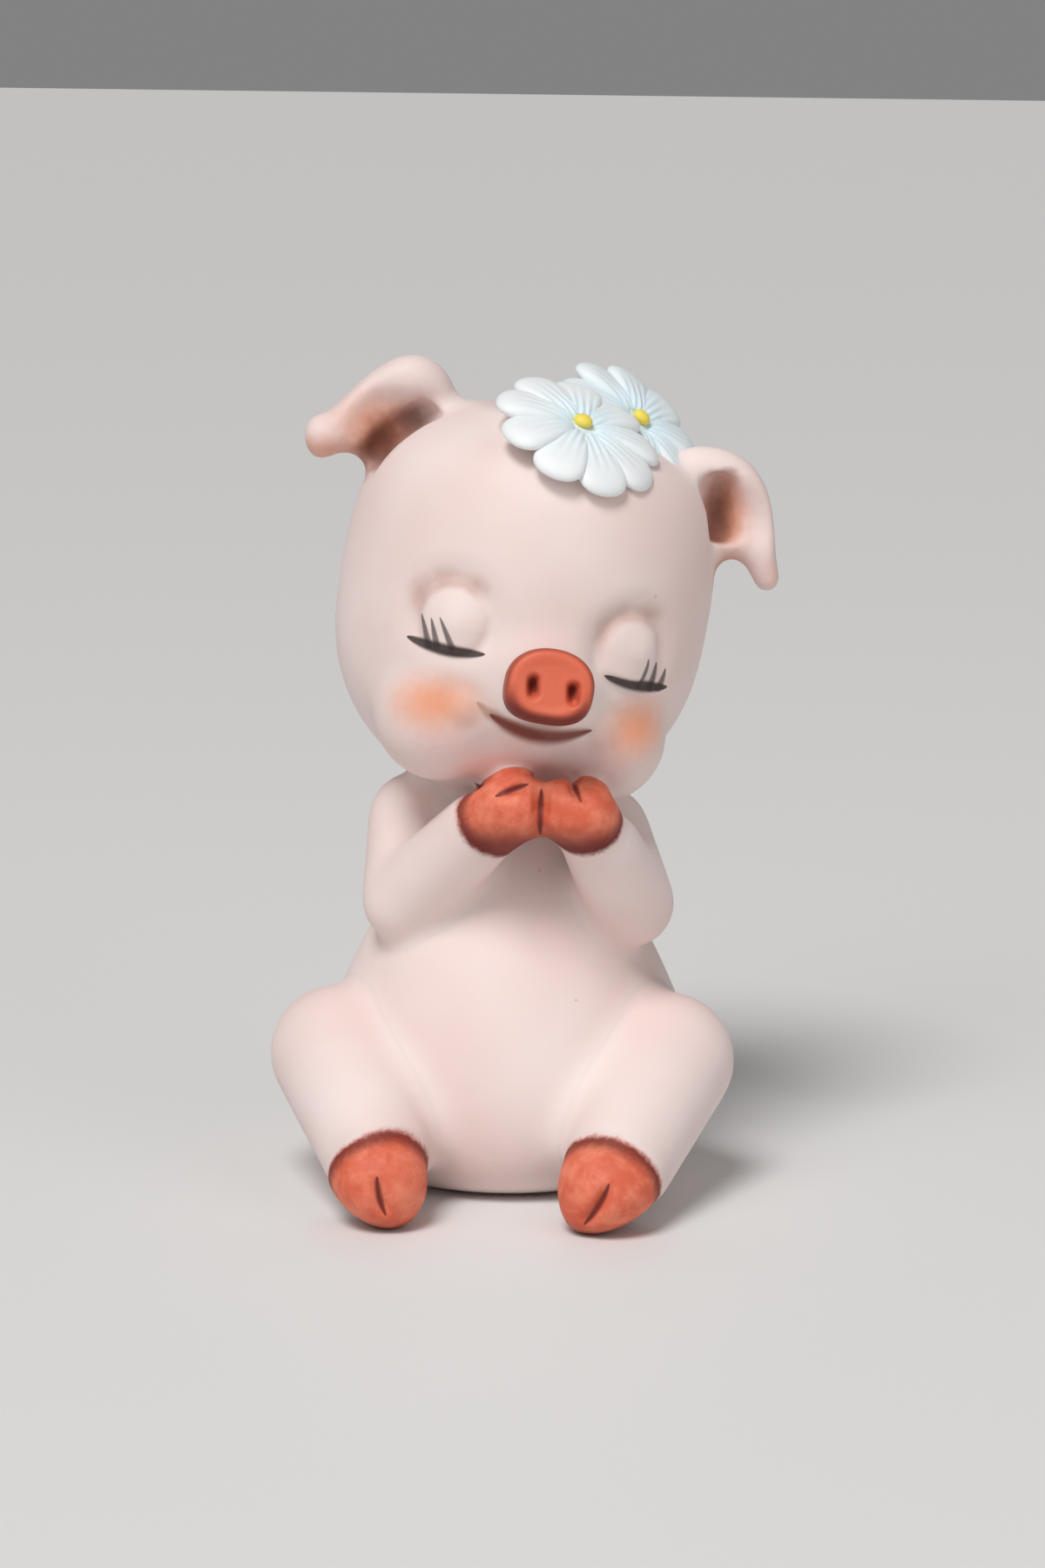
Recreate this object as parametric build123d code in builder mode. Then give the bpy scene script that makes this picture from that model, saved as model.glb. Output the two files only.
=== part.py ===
"""A seated pig figurine of bisque porcelain, with closed eyes, joined hands and flowers on its crown.

The figure is made as a pottery makes one: a hollow cast torso and a hollow cast head, with pressed
arms, legs, hooves, ears, snout, tail and flower petals stuck to them with slip. Each of those pieces is
a solid of its own, cut to the surface that it is stuck to.

Millimetres, +Z up. The pig faces -Y and sits on the plane Z = 0. The origin is the centre of the vent
hole in the torso's base. Left and right are the pig's own, so its left side is at +X.
"""

from build123d import *

import os
from math import cos, pi, radians, sin

# Cast shells
torso_wall = 2.6
head_wall = 2.6
vent_radius = 2.5
neck_vent_radius = 4.0

# Torso, a pear turned about the upright: its radius at each height
base_radius = 14.0
flank_height = 3.5
flank_radius = 20.1
belly_height = 11.5
belly_radius = 21.6
waist_height = 25.0
waist_radius = 17.3
chest_height = 35.5
chest_radius = 12.2
neck_height = 47.5
neck_radius = 8.8

# Head, a rounded block over a rounded chin, tilted and turned towards the pig's left
head_aside = 1.4
head_forward = 0.6
head_rise = 18.3
head_turn = 13.0
head_tilt = 9.5
skull_girth_radius = 21.1
skull_top = 21.8
skull_bottom = 22.6
skull_widest = -1.0
crown_squareness = 3.1
chin_squareness = 2.2
skull_rows = 9

# Muzzle and snout
muzzle_height = -5.8
muzzle_radius = 8.2
muzzle_reach = 2.6
snout_half_width = 5.1
snout_half_height = 4.15
snout_thickness = 2.4
snout_rounding = 0.9
nostril_half_width = 0.55
nostril_half_height = 1.15
nostril_depth = 1.5
nostril_spacing = 4.5

# Cheeks, two full balls low on the face
cheek_spread = 9.0
cheek_sink = 10.7
cheek_height = -12.3
cheek_radius = 7.7

# Mouth, a thin groove below the snout
mouth_half_width = 7.6
mouth_height = -8.9
mouth_sag = 3.4
mouth_width = 0.9
mouth_depth = 0.9

# Eyes: a shallow socket with a closed lid in it
eye_height = -1.1
eye_turn = 30.5
socket_radius = 5.4
socket_depth = 1.2
lid_radius = 4.2
lid_bulge = 0.4

# Ears, each a row of sections from root to tip, and a cup scooped out of its front. A section is its
# upper edge and its lower edge, both outward and upward from the ear's root, and half its thickness.
ear_root_height = 15.8
ear_cup_share = 0.66
ear_cup_lead = 1.0
ear_tip_rounding = 1.0
right_ear_forward = -2.6
right_ear_sections = [
    ((-7.0, 5.0), (-2.5, -6.0), 3.0),
    ((-2.0, 9.8), (2.0, -3.4), 3.7),
    ((1.6, 8.6), (4.2, -2.2), 3.6),
    ((5.6, 4.2), (5.8, -2.8), 3.0),
    ((9.4, 1.0), (8.3, -3.6), 2.3),
]
left_ear_forward = 4.4
left_ear_sections = [
    ((-4.0, 5.0), (-2.0, -8.0), 3.2),
    ((0.6, 5.6), (2.0, -8.0), 3.7),
    ((4.2, 4.4), (3.6, -6.6), 3.5),
    ((8.0, -1.6), (5.8, -7.4), 2.9),
    ((10.6, -8.0), (8.9, -10.2), 2.0),
]

# Arms: shoulder, elbow, wrist and toe centres, each with its height above the top of the neck
right_arm_points = [(-10.6, -1.5, -6.9), (-11.1, -8.5, -14.9), (-1.9, -16.6, -4.4), (1.2, -19.4, -1.4)]
left_arm_points = [(10.8, -1.5, -8.1), (14.3, -8.5, -14.7), (10.9, -16.2, -5.9), (9.4, -19.4, -1.6)]
arm_radii = [5.5, 5.1, 4.3, 4.3]
fore_hoof_seam = 5.25

# Legs: hip, knee and hoof centres, the same on both sides. The hooves rest on the plane of the base.
hip_spread = 9.5
hip_forward = 1.0
hip_height = 12.0
hip_radius = 10.0
knee_spread = 18.8
knee_forward = 10.0
knee_height = 15.0
knee_radius = 7.7
hind_hoof_spread = 12.3
hind_hoof_shift = 0.7
hind_hoof_forward = 28.2
hind_hoof_radius = 5.75
hind_hoof_sole_depth = 0.35
hind_hoof_band = 2.2

# Clefts between the two toes of a hoof: the way each one faces, and a line along it
cleft_radius = 3.2
cleft_half_width = 0.55
cleft_depth = 0.9
right_fore_cleft = ((1.85, -3.6, 2.3), (3.5, 2.0, 1.5))
left_fore_cleft = ((1.45, -3.6, 2.5), (1.1, -2.0, -2.7))
right_hind_cleft = ((0.5, -4.6, -2.0), (0.3, 0.9, -2.2))
left_hind_cleft = ((-1.0, -4.4, -2.2), (-0.9, 0.9, -1.6))

# Flowers: a ring of petals and a button on a pad of slip. A petal's droop is the same all round but for
# the swing, which bends the front ones down and the back ones up.
petal_pitches = 9
petal_gap = 0.12
petal_thickness = 1.9
petal_rounding = 0.8
petal_root = 2.2
petal_root_radius = 0.6
button_radius = 1.3
button_height = 1.3
button_rounding = 0.5
pad_radius = 4.4
pad_depth = 6.0
pad_rise = 0.5
front_flower_height = 20.5
front_flower_turn = 4.5
front_flower_lift = 0.9
front_flower_tilt = 20.5
front_flower_facing = 13.0
front_petal_reach = 7.8
front_petal_droop = 6.5
front_petal_swing = 8.0
front_petal_count = 9
front_petal_first = -84.0
back_flower_height = 21.05
back_flower_turn = 66.0
back_flower_lift = 2.4
back_flower_tilt = 36.0
back_flower_facing = 53.0
back_petal_reach = 7.3
back_petal_droop = 11.0
back_petal_swing = 6.0
back_petal_count = 7
back_petal_first = -110.0

# Tail, one curl on the back
tail_height = 11.0
tail_curl_radius = 2.7
tail_curl_sweep = 290.0
tail_radius = 1.35
tail_seat = 0.5

head_centre = Vector(head_aside, -head_forward, neck_height + head_rise)
head_place = Plane(head_centre).rotated((0, 0, head_turn)).location * Rotation(0, head_tilt, 0)
os.makedirs("parts", exist_ok=True)


def write_piece(piece, node):
    """Labels a finished piece and writes it as the node's file."""
    piece.label = node
    export_step(piece, f"parts/{node}.step")


def ellipsoid(half_x, half_y, half_z, place):
    """An ellipsoid of three half sizes at a place."""
    with BuildPart() as form:
        Sphere(1)
        scale(by=(half_x, half_y, half_z))
    return form.part.moved(place)


def tapered_bar(start, end, start_radius, end_radius):
    """A round bar from one ball to another, with straight sides that touch both balls."""
    span = Vector(*end) - Vector(*start)
    with BuildPart() as bar:
        with BuildSketch(Plane.XZ):
            Circle(start_radius)
            with Locations((0, span.length)):
                Circle(end_radius)
            make_hull()
            split(bisect_by=Plane.YZ)
        revolve(axis=Axis.Z)
    return bar.part.moved(Plane(origin=start, z_dir=span).location)


def limb(points, radii):
    """A bent limb of tapered bars, one from each point to the next."""
    with BuildPart() as whole:
        for start, end, start_radius, end_radius in zip(points, points[1:], radii, radii[1:]):
            add(tapered_bar(start, end, start_radius, end_radius))
    return whole.part


def cleft(centre, facing, along, radius):
    """A wedge that parts a hoof's toes: a disc on edge, sunk into the hoof's ball by the cleft depth."""
    facing = Vector(*facing).normalized()
    across = Vector(*along).cross(facing)
    origin = Vector(*centre) + facing * (radius - cleft_depth + cleft_radius)
    place = Plane(origin, facing, across).location
    return ellipsoid(cleft_radius, cleft_radius, cleft_half_width, place)


# The torso and the head's outer forms


def torso_form(inset):
    """The torso's outer form, drawn in by the inset at its wall and raised by it at its base."""
    flank_rise = inset / 2
    outline = [
        (flank_radius - inset, flank_height + flank_rise),
        (belly_radius - inset, belly_height),
        (waist_radius - inset, waist_height),
        (chest_radius - inset, chest_height),
        (neck_radius - inset, neck_height),
    ]
    with BuildPart() as form:
        with BuildSketch(Plane.XZ):
            with BuildLine():
                Spline((base_radius, inset), *outline)
                Polyline(outline[-1], (0, neck_height), (0, inset), (base_radius, inset))
            make_face()
        revolve(axis=Axis.Z)
    return form.part


def skull_radius(height, inset=0.0):
    """Half the skull's width at a height, by the formula of a squared circle."""
    above = height > skull_widest
    reach = (skull_top - skull_widest if above else skull_bottom + skull_widest) - inset
    power = crown_squareness if above else chin_squareness
    share = min(abs(height - skull_widest) / reach, 1.0)
    return (skull_girth_radius - inset) * (1 - share**power) ** (1 / power)


def skull_plane(height, turn, lift=0.0):
    """The plane that touches the skull at a height, turned from the face towards the pig's left."""
    radius = skull_radius(height)
    above = height > skull_widest
    reach = skull_top - skull_widest if above else skull_bottom + skull_widest
    power = crown_squareness if above else chin_squareness
    flat = (radius / skull_girth_radius) ** (power - 1) / skull_girth_radius
    rise = (abs(height - skull_widest) / reach) ** (power - 1) / reach
    side = sin(radians(turn))
    front = -cos(radians(turn))
    normal = Vector(flat * side, flat * front, rise if above else -rise).normalized()
    touch = Vector(radius * side, radius * front, height)
    return Plane(touch + normal * lift, Vector(0, 0, 1).cross(normal), normal)


def skull_form(inset):
    """The bare skull: its outline turned about the upright."""
    low = inset - skull_bottom
    high = skull_top - inset
    turns = [pi * row / (skull_rows + 1) for row in range(1, skull_rows + 1)]
    rows = [low + (high - low) * (1 - cos(turn)) / 2 for turn in turns]
    outline = [(skull_radius(height, inset), height) for height in rows]
    with BuildPart() as form:
        with BuildSketch(Plane.YZ):
            with BuildLine():
                Spline((0, low), *outline, (0, high), tangents=((1, 0), (-1, 0)))
                Line((0, high), (0, low))
            make_face()
        revolve(axis=Axis.Z)
    return form.part


muzzle_front = skull_radius(muzzle_height) + muzzle_reach
muzzle_centre = (0, muzzle_radius - muzzle_front, muzzle_height)


def head_form(inset):
    """The head's outer form without its eyes and mouth, drawn in by the inset: skull, muzzle, cheeks."""
    with BuildPart() as form:
        add(skull_form(inset))
        with Locations(muzzle_centre):
            Sphere(muzzle_radius - inset)
        for side in (-1, 1):
            with Locations((side * cheek_spread, cheek_sink - skull_girth_radius, cheek_height)):
                Sphere(cheek_radius - inset)
    return form.part


head_solid = head_form(0)
head_in_place = head_solid.moved(head_place)
torso_solid = torso_form(0)

with BuildPart() as torso_shell:
    add(torso_solid)
    add(torso_form(torso_wall), mode=Mode.SUBTRACT)
    Cylinder(vent_radius, belly_height, mode=Mode.SUBTRACT)
    add(head_in_place, mode=Mode.SUBTRACT)
write_piece(torso_shell.part, "torso_shell")

with BuildPart() as mouth:
    with BuildSketch(Plane.XZ):
        with BuildLine():
            corners = [(side * mouth_half_width, mouth_height) for side in (-1, 1)]
            ThreePointArc(corners[0], (0, mouth_height - mouth_sag), corners[1])
            ThreePointArc(corners[0], (0, mouth_height - mouth_sag - mouth_width), corners[1])
        make_face()
    extrude(amount=2 * skull_girth_radius)
    add(head_form(mouth_depth), mode=Mode.SUBTRACT)

with BuildPart() as head_shell:
    add(head_solid)
    for side in (-1, 1):
        with Locations(skull_plane(eye_height, side * eye_turn, socket_radius - socket_depth).origin):
            Sphere(socket_radius, mode=Mode.SUBTRACT)
        with Locations(skull_plane(eye_height, side * eye_turn, lid_bulge - lid_radius).origin):
            Sphere(lid_radius)
    add(mouth.part, mode=Mode.SUBTRACT)
    add(skull_form(head_wall), mode=Mode.SUBTRACT)
    with Locations((0, 0, -skull_bottom)):
        Cylinder(neck_vent_radius, skull_bottom, mode=Mode.SUBTRACT)
write_piece(head_shell.part.moved(head_place), "head_shell")

# The snout, a thick disc on the muzzle with two nostrils

with BuildPart() as snout:
    with BuildSketch(Plane.XZ.offset(muzzle_front - muzzle_radius)):
        with Locations((0, muzzle_height)):
            Ellipse(snout_half_width, snout_half_height)
    extrude(amount=muzzle_radius + snout_thickness)
    fillet(snout.faces().sort_by(Axis.Y)[0].edges(), snout_rounding)
    with BuildSketch(Plane.XZ.offset(muzzle_front + snout_thickness)):
        with Locations((0, muzzle_height)):
            with GridLocations(nostril_spacing, 1, 2, 1):
                Ellipse(nostril_half_width, nostril_half_height)
    extrude(amount=-nostril_depth, mode=Mode.SUBTRACT)
    add(head_solid, mode=Mode.SUBTRACT)
write_piece(snout.part.moved(head_place), "snout")

# The ears


def ear_slice(section, side, forward, share=1.0, lead=0.0):
    """One ellipse of an ear, or of its cup: a share of the ear's own section, moved to the front."""
    upper, lower, half_thickness = section
    root = skull_radius(ear_root_height)
    ends = [Vector(side * (root + x), 0, ear_root_height + z) for x, z in (upper, lower)]
    middle = (ends[0] + ends[1]) / 2 - Vector(0, forward + lead * half_thickness, 0)
    rise = ends[0] - ends[1]
    with BuildSketch(Plane(middle, Vector(0, 1, 0), rise.cross(Vector(0, 1, 0)))) as outline:
        Ellipse(share * half_thickness, share * rise.length / 2)
    return outline.sketch


def make_ear(sections, side, forward):
    """An ear: a flap lofted through its sections, with a cup scooped out of its front."""
    with BuildPart() as ear:
        for section in sections:
            add(ear_slice(section, side, forward))
        loft()
        tip = ear.faces().sort_by(Axis.X)[-1 if side > 0 else 0]
        fillet(tip.edges(), ear_tip_rounding)
        with BuildPart(mode=Mode.PRIVATE) as cup:
            for section in sections[:-1]:
                add(ear_slice(section, side, forward, ear_cup_share, ear_cup_lead))
            loft()
        add(cup.part, mode=Mode.SUBTRACT)
        add(head_solid, mode=Mode.SUBTRACT)
    return ear.part


right_ear = make_ear(right_ear_sections, -1, right_ear_forward)
left_ear = make_ear(left_ear_sections, 1, left_ear_forward)
write_piece(right_ear.moved(head_place), "ear_right")
write_piece(left_ear.moved(head_place), "ear_left")

# The arms and the fore hooves, which meet on an upright plane under the chin

for node_side, side, places, parting in (
    ("right", 1, right_arm_points, right_fore_cleft),
    ("left", -1, left_arm_points, left_fore_cleft),
):
    points = [(x, y, neck_height + rise) for x, y, rise in places]
    wrist_plane = Plane(points[2], z_dir=Vector(*points[3]) - Vector(*points[2]))
    with BuildPart() as arm:
        add(limb(points[:3], arm_radii[:3]))
        split(bisect_by=wrist_plane, keep=Keep.BOTTOM)
        add(torso_solid, mode=Mode.SUBTRACT)
        add(head_in_place, mode=Mode.SUBTRACT)
    with BuildPart() as fore_hoof:
        add(tapered_bar(points[2], points[3], arm_radii[2], arm_radii[3]))
        split(bisect_by=wrist_plane, keep=Keep.TOP)
        split(bisect_by=Plane((fore_hoof_seam, 0, 0), z_dir=(side, 0, 0)), keep=Keep.BOTTOM)
        add(head_in_place, mode=Mode.SUBTRACT)
        add(cleft(points[3], *parting, arm_radii[3]), mode=Mode.SUBTRACT)
    write_piece(arm.part, f"arm_{node_side}")
    write_piece(fore_hoof.part, f"fore_hoof_{node_side}")

# The legs and the hind hooves

for node_side, side, parting in (("right", -1, right_hind_cleft), ("left", 1, left_hind_cleft)):
    sole_height = hind_hoof_radius - hind_hoof_sole_depth
    hip = (side * hip_spread, -hip_forward, hip_height)
    knee = (side * knee_spread, -knee_forward, knee_height)
    toe = (side * hind_hoof_spread + hind_hoof_shift, -hind_hoof_forward, sole_height)
    shin = Vector(*toe) - Vector(*knee)
    ankle_plane = Plane(Vector(*toe) - shin.normalized() * hind_hoof_band, z_dir=shin)
    with BuildPart() as leg:
        add(limb([hip, knee, toe], [hip_radius, knee_radius, hind_hoof_radius]))
        add(torso_solid, mode=Mode.SUBTRACT)
    with BuildPart() as shank:
        add(leg.part)
        split(bisect_by=ankle_plane, keep=Keep.BOTTOM)
    with BuildPart() as hind_hoof:
        add(leg.part)
        split(bisect_by=ankle_plane, keep=Keep.TOP)
        split(bisect_by=Plane.XY, keep=Keep.TOP)
        add(cleft(toe, *parting, hind_hoof_radius), mode=Mode.SUBTRACT)
    write_piece(shank.part, f"leg_{node_side}")
    write_piece(hind_hoof.part, f"hind_hoof_{node_side}")

# The tail, an open curl that lies against the back

with BuildPart() as tail:
    tail_rows = Plane.XZ.offset(-belly_radius - tail_seat)
    with BuildLine(tail_rows):
        curl = CenterArc((0, tail_height), tail_curl_radius, 180 - tail_curl_sweep, tail_curl_sweep)
    with BuildSketch(Plane(curl @ 0, z_dir=curl % 0)):
        Circle(tail_radius)
    sweep(path=curl)
    with Locations(curl @ 0, curl @ 1):
        Sphere(tail_radius)
    add(torso_solid, mode=Mode.SUBTRACT)
write_piece(tail.part.solids().sort_by(SortBy.VOLUME)[-1], "tail")

# The flowers. Each petal is a slab with rounded edges, wider at its tip, that droops from the centre.


def flower_place(height, turn, lift, tilt, facing):
    """A flower's plane: a point of the crown, lifted off it, and a face tilted from the upright."""
    normal = Vector(0, 0, 1).rotate(Axis.X, tilt).rotate(Axis.Z, facing)
    return Plane(skull_plane(height, turn, lift).origin, Vector(0, 0, 1).cross(normal), normal).location


def make_petal(reach, droop, turn):
    """A petal about the flower's centre, turned to its place in the ring."""
    tip_radius = reach * cos(radians(droop)) * sin(pi / petal_pitches) - petal_gap / 2
    with BuildPart() as slab:
        with BuildSketch():
            with Locations((petal_root, 0)):
                Circle(petal_root_radius)
            with Locations((reach, 0)):
                Circle(tip_radius)
            make_hull()
        extrude(amount=petal_thickness)
        fillet(slab.faces().sort_by(Axis.Z)[-1].edges(), petal_rounding)
    return slab.part.moved(Rotation(0, 0, turn) * Rotation(0, droop, 0))


def make_flower(name, place, reach, droop, swing, first, count, obstacles):
    """A flower at a place of the head: petals, pad and button, each cut by what it is stuck to."""
    pieces = []
    for number in range(count):
        turn = first + number * 360 / petal_pitches
        with BuildPart() as petal:
            add(make_petal(reach, droop - swing * sin(radians(turn)), turn).moved(place))
            for obstacle in [head_solid, *obstacles]:
                add(obstacle, mode=Mode.SUBTRACT)
        pieces.append(petal.part)
        write_piece(petal.part.moved(head_place), f"flower_{name}_petal_{number + 1}")
    with BuildPart() as pad:
        with Locations(place * Location((0, 0, pad_rise - pad_depth))):
            Cylinder(pad_radius, pad_depth, align=(Align.CENTER, Align.CENTER, Align.MIN))
        for obstacle in [head_solid, *pieces, *obstacles]:
            add(obstacle, mode=Mode.SUBTRACT)
    with BuildPart() as button:
        with BuildSketch(Plane(place * Location((0, 0, pad_rise)))):
            Circle(button_radius)
        extrude(amount=button_height)
        fillet(button.faces().filter_by(GeomType.PLANE).sort_by(Axis.Z)[-1].edges(), button_rounding)
        for obstacle in [*pieces, *obstacles]:
            add(obstacle, mode=Mode.SUBTRACT)
    pad_lump = pad.part.solids().sort_by(SortBy.VOLUME)[-1]
    write_piece(pad_lump.moved(head_place), f"flower_{name}_pad")
    write_piece(button.part.moved(head_place), f"flower_{name}_button")
    return [*pieces, pad_lump, button.part]


front_place = flower_place(
    front_flower_height, front_flower_turn, front_flower_lift, front_flower_tilt, front_flower_facing
)
front_flower = make_flower(
    "front",
    front_place,
    front_petal_reach,
    front_petal_droop,
    front_petal_swing,
    front_petal_first,
    front_petal_count,
    [],
)
back_place = flower_place(
    back_flower_height, back_flower_turn, back_flower_lift, back_flower_tilt, back_flower_facing
)
make_flower(
    "back",
    back_place,
    back_petal_reach,
    back_petal_droop,
    back_petal_swing,
    back_petal_first,
    back_petal_count,
    [left_ear, *front_flower],
)
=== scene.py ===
"""The pig figurine's looks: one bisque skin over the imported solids, its paint, and its flowers.

Metres, +Z up. The pig faces -Y. Left and right are the pig's own, so its left side is at +X.
"""

from math import cos, radians, sin

import bpy
import numpy as np
from mathutils import Matrix, Vector


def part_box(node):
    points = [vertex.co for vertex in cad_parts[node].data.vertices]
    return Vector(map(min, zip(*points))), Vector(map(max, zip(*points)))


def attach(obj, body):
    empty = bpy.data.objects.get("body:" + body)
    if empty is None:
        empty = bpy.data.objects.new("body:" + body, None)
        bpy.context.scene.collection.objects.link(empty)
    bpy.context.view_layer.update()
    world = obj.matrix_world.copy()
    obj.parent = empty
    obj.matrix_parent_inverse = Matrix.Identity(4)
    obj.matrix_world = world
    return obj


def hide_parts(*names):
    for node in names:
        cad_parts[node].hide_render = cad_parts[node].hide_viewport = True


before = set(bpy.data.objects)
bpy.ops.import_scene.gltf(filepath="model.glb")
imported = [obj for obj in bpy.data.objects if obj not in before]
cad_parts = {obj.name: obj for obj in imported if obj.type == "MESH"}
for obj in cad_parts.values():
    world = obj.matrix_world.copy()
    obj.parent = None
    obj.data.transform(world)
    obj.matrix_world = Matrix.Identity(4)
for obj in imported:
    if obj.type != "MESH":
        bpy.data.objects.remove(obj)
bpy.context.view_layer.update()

MM = 0.001

# The camera of the photograph, which is 1200 wide and 1800 high
camera_target = Vector((1.5, 0.0, 44.6)) * MM
camera_azimuth = radians(3)
camera_elevation = radians(11)
camera_roll = radians(0.6)
camera_distance = 520 * MM
camera_lens = 104.0
frame_height = 36.0
camera_level = Vector((sin(camera_azimuth), -cos(camera_azimuth), 0))
camera_back = camera_level * cos(camera_elevation) + Vector((0, 0, sin(camera_elevation)))
camera_place = camera_target + camera_back * camera_distance

# The head's own frame: it faces -Y there too
head_centre = Vector((1.4, -0.6, 65.8)) * MM
head_turn = Matrix.Rotation(radians(13), 4, "Z") @ Matrix.Rotation(radians(9.5), 4, "Y")
head_place = Matrix.Translation(head_centre) @ head_turn

# How fine the clay is: the skin, the tools that part it, the snout and the tail
voxel = 0.35 * MM
tool_grain = 0.5 * MM
snout_grain = 0.16 * MM
tail_grain = 0.25 * MM

# How far the potter's sponge fills each kind of crease
leg_fillet = 2.2 * MM
arm_fillet = 1.6 * MM
face_fillet = 4.0 * MM
ear_fillet = 1.7 * MM
ear_seam_fillet = 1.1 * MM
arm_seam_fillet = 1.0 * MM
neck_fillet = 0.4 * MM

# How far a parting tool reaches past its node's solid, and how far a front hoof's tool stays off the chin
parting_margin = 1.2 * MM
hoof_margin = 0.8 * MM
chin_clearance = 0.25 * MM

# Points nearer than this are one, and a place that is seen further off than this stays where it is
same_point = 0.001 * MM
seen_reach = 6 * MM

# A piece with more triangles is thinned, and edges sharper than this stay sharp
most_triangles = 160000
sharp_angle = radians(50)

# How each hoof is trimmed: its scale, its shift in millimetres, how far its toe leans sideways,
# and how much it narrows there
hoof_trims = {
    "fore_hoof_left": ((0.93, 1, 0.86), (-0.3, 0, -0.4), 0, 0),
    "fore_hoof_right": ((1.0, 1, 0.88), (0.5, 0, -0.2), 0, 0),
    "hind_hoof_left": ((1, 1, 0.94), (0, 0, -0.35), -2.2, 0.16),
    "hind_hoof_right": ((0.95, 1, 0.94), (-0.8, 0, -0.35), 1.2, 0.18),
}

# The left front hoof's inner toe, in millimetres
toe_centre = (7.2, -20.3, 45.8)
toe_size = (2.5, 3.2, 3.6)

# Where each limb's coral begins, which way it runs, and the heights between which painted shade darkens it
# below
hoof_edges = {
    "right_arm": ((-3.3, -18.8, 43.1), (0.62, -0.53, 0.57), (44.8, 41.4)),
    "left_arm": ((11.0, -18.3, 43.2), (-0.28, -0.60, 0.75), (45.2, 41.4)),
    "right_leg": ((-12.4, -28.0, 8.2), (0.30, -0.85, -0.43), (2.5, -1.0)),
    "left_leg": ((13.2, -28.0, 8.2), (-0.34, -0.85, -0.43), (2.5, -1.0)),
}

# Paint
bisque_pink = (0.800, 0.625, 0.590, 1)
bisque_light = (0.850, 0.720, 0.690, 1)
# A tan for the clay's stray specks, and for painted shade in the face's creases, under the snout and along
# the smile
speck_tan_and_crease_shade = (0.400, 0.190, 0.120, 1)
# A painted highlight on the top of each lid's dome
lid_painted_highlight = (0.860, 0.715, 0.680, 1)
coral = (0.670, 0.125, 0.062, 1)
coral_light = (0.830, 0.240, 0.140, 1)
# A dark red for the paint's rim, and for painted shade on the snout's rim and in its nostrils, in the
# hooves' clefts and seam, and on their lower parts
coral_dark = (0.150, 0.014, 0.010, 1)
blush_orange = (0.800, 0.285, 0.120, 1)
mouth_red = (0.190, 0.026, 0.012, 1)
lash_black = (0.045, 0.030, 0.027, 1)
petal_white = (0.850, 0.870, 0.870, 1)
# A blue for the flowers' own tint, and for blue painted shade around their sunken middles and in their
# grooves
petal_blue = (0.480, 0.770, 0.900, 1)
button_yellow = (0.860, 0.840, 0.140, 1)
button_amber = (0.900, 0.660, 0.100, 1)
ear_orange = (0.640, 0.260, 0.150, 1)
# Painted shade for the deepest hollows of the ears' cups
ear_hollow_shade = (0.130, 0.035, 0.018, 1)
floor_pale = (0.780, 0.770, 0.760, 1)


# Tools


def pick(*pieces):
    """Selects these pieces alone, with the last one active."""
    bpy.ops.object.select_all(action="DESELECT")
    for piece in pieces:
        piece.select_set(True)
    bpy.context.view_layer.objects.active = pieces[-1]


def edit(piece, select="SELECT"):
    """Starts edit mode on a piece with all or none of it selected."""
    pick(piece)
    bpy.ops.object.mode_set(mode="EDIT")
    bpy.ops.mesh.select_mode(type="VERT")
    bpy.ops.mesh.select_all(action=select)


def done():
    """Ends edit mode."""
    bpy.ops.object.mode_set(mode="OBJECT")


def modify(piece, kind, **settings):
    """Applies one modifier to a piece."""
    pick(piece)
    modifier = piece.modifiers.new(kind.lower(), kind)
    for name, value in settings.items():
        setattr(modifier, name, value)
    bpy.ops.object.modifier_apply(modifier=modifier.name)


def new_object(name, data):
    """A new object in the scene, made of a mesh, a curve, a lamp or a camera."""
    made = bpy.data.objects.new(name, data)
    bpy.context.scene.collection.objects.link(made)
    return made


def unit_sphere(segments=32, rings=16):
    """A new piece: a sphere with a radius of 1."""
    bpy.ops.object.select_all(action="DESELECT")
    bpy.ops.mesh.primitive_uv_sphere_add(segments=segments, ring_count=rings, radius=1)
    return bpy.context.object


def copy_of(piece, name):
    """A copy of a piece with a mesh of its own."""
    return new_object(name, piece.data.copy())


def node_copy(name, *nodes):
    """A piece made of copies of CAD nodes, joined, with their loose triangles merged."""
    copies = [copy_of(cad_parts[node], name) for node in nodes]
    pick(*copies)
    if len(copies) > 1:
        bpy.ops.object.join()
    piece = bpy.context.object
    edit(piece)
    bpy.ops.mesh.remove_doubles(threshold=same_point)
    done()
    piece.data.materials.clear()
    return piece


def remesh(piece, size=voxel):
    """Makes one even closed skin of all that a piece holds."""
    modify(piece, "REMESH", mode="VOXEL", voxel_size=size)


def relax(piece, rounds, factor=0.5):
    """Evens out a whole piece."""
    modify(piece, "SMOOTH", factor=factor, iterations=rounds)


def swell(piece, distance):
    """Moves a piece's skin outwards."""
    modify(piece, "DISPLACE", strength=distance, mid_level=0)


def fill_creases(piece, radius, size=voxel):
    """Fills the hollow creases of a piece, as a wet sponge does, and leaves the rest."""
    relax(piece, 3)
    swell(piece, radius)
    remesh(piece, size)
    relax(piece, 4)
    swell(piece, -radius)
    remesh(piece, size)
    relax(piece, 3)


def points_of(piece):
    """A piece's vertices as an array."""
    points = np.empty(len(piece.data.vertices) * 3)
    piece.data.vertices.foreach_get("co", points)
    return points.reshape(-1, 3)


def normals_of(piece):
    """A piece's vertex normals as an array."""
    normals = np.empty(len(piece.data.vertices) * 3)
    piece.data.vertices.foreach_get("normal", normals)
    return normals.reshape(-1, 3)


def move_points(piece, points):
    """Gives a piece's vertices new places."""
    piece.data.vertices.foreach_set("co", points.ravel())
    piece.data.update()


def mark_points(piece, name, values):
    """Keeps a value with each of a piece's vertices, for its paint."""
    mark = piece.data.attributes.new(name, "FLOAT", "POINT")
    mark.data.foreach_set("value", values)


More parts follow.
